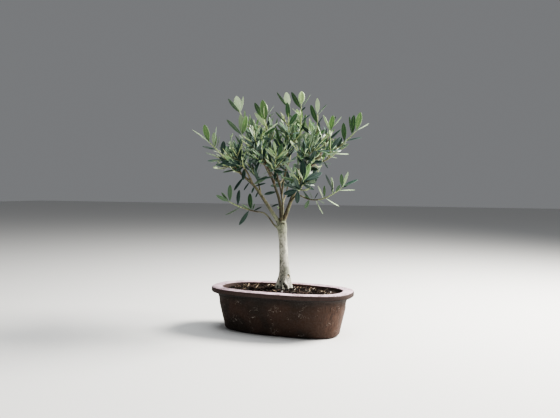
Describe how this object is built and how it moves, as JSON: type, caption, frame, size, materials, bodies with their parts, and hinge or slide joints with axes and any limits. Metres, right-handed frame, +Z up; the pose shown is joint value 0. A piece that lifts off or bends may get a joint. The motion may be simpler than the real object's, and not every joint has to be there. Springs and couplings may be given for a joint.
{
  "type": "olive bonsai",
  "caption": "Small olive tree trained as a bonsai: pale flared trunk, forked boughs and an open crown of narrow grey-green leaves, in an oval unglazed brown pot with soil.",
  "frame": {"origin": "centre of the pot's flat underside, on the surface it stands on", "axes": "+X along the pot's long side, +Y across it towards the back, +Z up; the tree's own front is turned 21.1 degrees about +Z from -Y towards +X"},
  "size_m": [0.3484, 0.2922, 0.4997],
  "materials": {
    "stoneware": "unglazed dark brown stoneware, matte, with pale mineral marks and a lighter mauve-grey lip",
    "soil": "dark moist potting soil with bark and wood chips",
    "trunk_bark": "smooth pale grey-green bark with dark specks",
    "bough_bark": "darker grey-brown bark",
    "foliage": "narrow leathery leaves, grey-green above and silvery beneath, on thin green-grey twigs"
  },
  "bodies": {
    "root": {"pot": "stoneware", "soil": "soil", "trunk": "trunk_bark", "left_bough": "bough_bark", "middle_bough": "bough_bark", "right_bough": "bough_bark", "back_bough": "bough_bark", "low_left_branch": "bough_bark", "low_right_branch": "bough_bark", "low_back_branch": "bough_bark", "front_right_branch": "bough_bark", "front_branch": "bough_bark", "front_high_branch": "bough_bark", "front_left_branch": "bough_bark", "left_front_branch": "bough_bark", "left_back_branch": "bough_bark", "left_inner_branch": "bough_bark", "top_left_branch": "bough_bark", "top_right_branch": "bough_bark", "right_crown_branch": "bough_bark", "shoulder_branch": "bough_bark", "right_front_branch": "bough_bark", "back_centre_branch": "bough_bark", "back_left_branch": "bough_bark", "back_right_branch": "bough_bark", "back_top_branch": "bough_bark", "left_outer_leaves": "foliage", "left_upper_leaves": "foliage", "right_outer_leaves": "foliage", "centre_left_leaves": "foliage", "low_left_leaves": "foliage", "low_right_leaves": "foliage", "low_back_leaves": "foliage", "front_right_leaves": "foliage", "centre_front_leaves": "foliage", "front_high_leaves": "foliage", "front_left_leaves": "foliage", "left_front_leaves": "foliage", "left_back_leaves": "foliage", "left_inner_leaves": "foliage", "top_left_leaves": "foliage", "top_right_leaves": "foliage", "right_crown_leaves": "foliage", "shoulder_leaves": "foliage", "right_front_leaves": "foliage", "back_centre_leaves": "foliage", "back_left_leaves": "foliage", "back_right_leaves": "foliage", "back_top_leaves": "foliage"}
  },
  "joints": []
}
